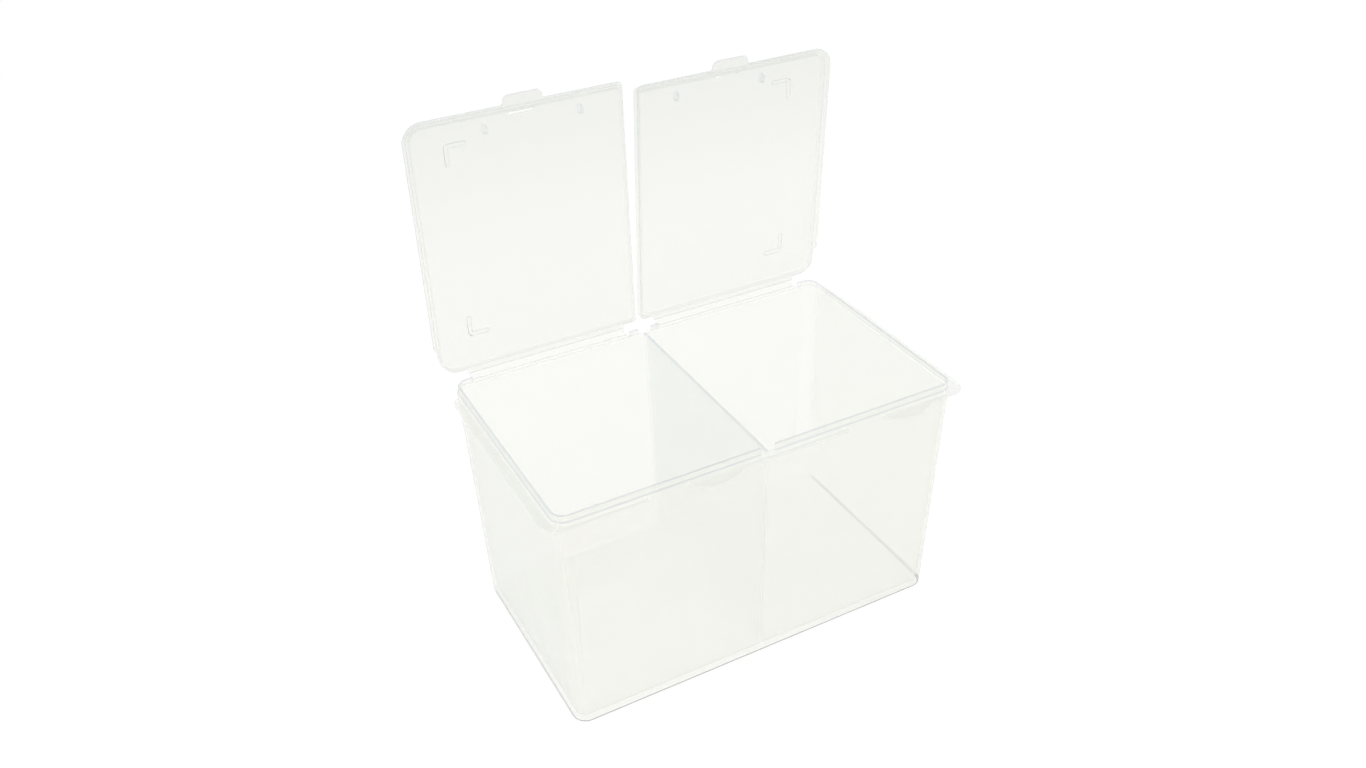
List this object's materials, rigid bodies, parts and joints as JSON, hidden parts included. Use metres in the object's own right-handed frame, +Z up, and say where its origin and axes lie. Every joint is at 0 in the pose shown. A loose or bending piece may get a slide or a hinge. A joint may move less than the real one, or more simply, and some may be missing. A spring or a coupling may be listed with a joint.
{
  "type": "storage box",
  "caption": "Translucent plastic storage box with a centre divider and a flip lid on a living hinge over each compartment.",
  "frame": {"origin": "middle of the base's underside, on the plane the box stands on, midway between the end walls and midway between the front and rear walls", "axes": "+Z up; +X to the right when the latches face the viewer; -Y towards the latches; the hinge line runs along X behind the rear wall"},
  "size_m": [0.2096, 0.1393, 0.251],
  "materials": {
    "tub_plastic": "translucent polypropylene, satin, very slightly warm green",
    "lid_plastic": "translucent polypropylene, satin, very slightly warm green",
    "hinge_plastic": "thin flexed polypropylene, whitened by bending"
  },
  "bodies": {
    "tub": {"tub_shell": "tub_plastic", "centre_divider": "tub_plastic", "front_rim_flange": "tub_plastic", "left_rim_flange": "tub_plastic", "right_rim_flange": "tub_plastic", "left_hinge_ledge": "tub_plastic", "right_hinge_ledge": "tub_plastic", "left_rim_lip": "tub_plastic", "right_rim_lip": "tub_plastic", "left_rear_lip_post": "tub_plastic", "right_rear_lip_post": "tub_plastic", "left_catch_bead": "tub_plastic", "right_catch_bead": "tub_plastic", "left_thumb_tongue": "tub_plastic", "right_thumb_tongue": "tub_plastic", "left_hinge_film": "hinge_plastic", "right_hinge_film": "hinge_plastic"},
    "left_lid": {"left_lid_panel": "lid_plastic", "left_lid_skirt": "lid_plastic", "left_lid_brim": "lid_plastic", "left_lid_finger_tab": "lid_plastic", "left_lid_snap_bead": "lid_plastic", "left_lid_outer_rib": "lid_plastic", "left_lid_inner_rib": "lid_plastic", "left_lid_front_mark": "lid_plastic", "left_lid_rear_mark": "lid_plastic", "left_lid_hinge_land": "lid_plastic"},
    "right_lid": {"right_lid_panel": "lid_plastic", "right_lid_skirt": "lid_plastic", "right_lid_brim": "lid_plastic", "right_lid_finger_tab": "lid_plastic", "right_lid_snap_bead": "lid_plastic", "right_lid_outer_rib": "lid_plastic", "right_lid_inner_rib": "lid_plastic", "right_lid_front_mark": "lid_plastic", "right_lid_rear_mark": "lid_plastic", "right_lid_hinge_land": "lid_plastic"}
  },
  "joints": [
    {"name": "left_lid_hinge", "type": "hinge", "parent": "tub", "child": "left_lid", "pos_m": [0, 0.0641, 0.1193], "axis": [-1, 0, 0], "range_deg": [-90.8, 89.2], "deforming": ["left_hinge_film"]},
    {"name": "right_lid_hinge", "type": "hinge", "parent": "tub", "child": "right_lid", "pos_m": [0, 0.0641, 0.1193], "axis": [-1, 0, 0], "range_deg": [-86.4, 93.6], "deforming": ["right_hinge_film"]}
  ]
}
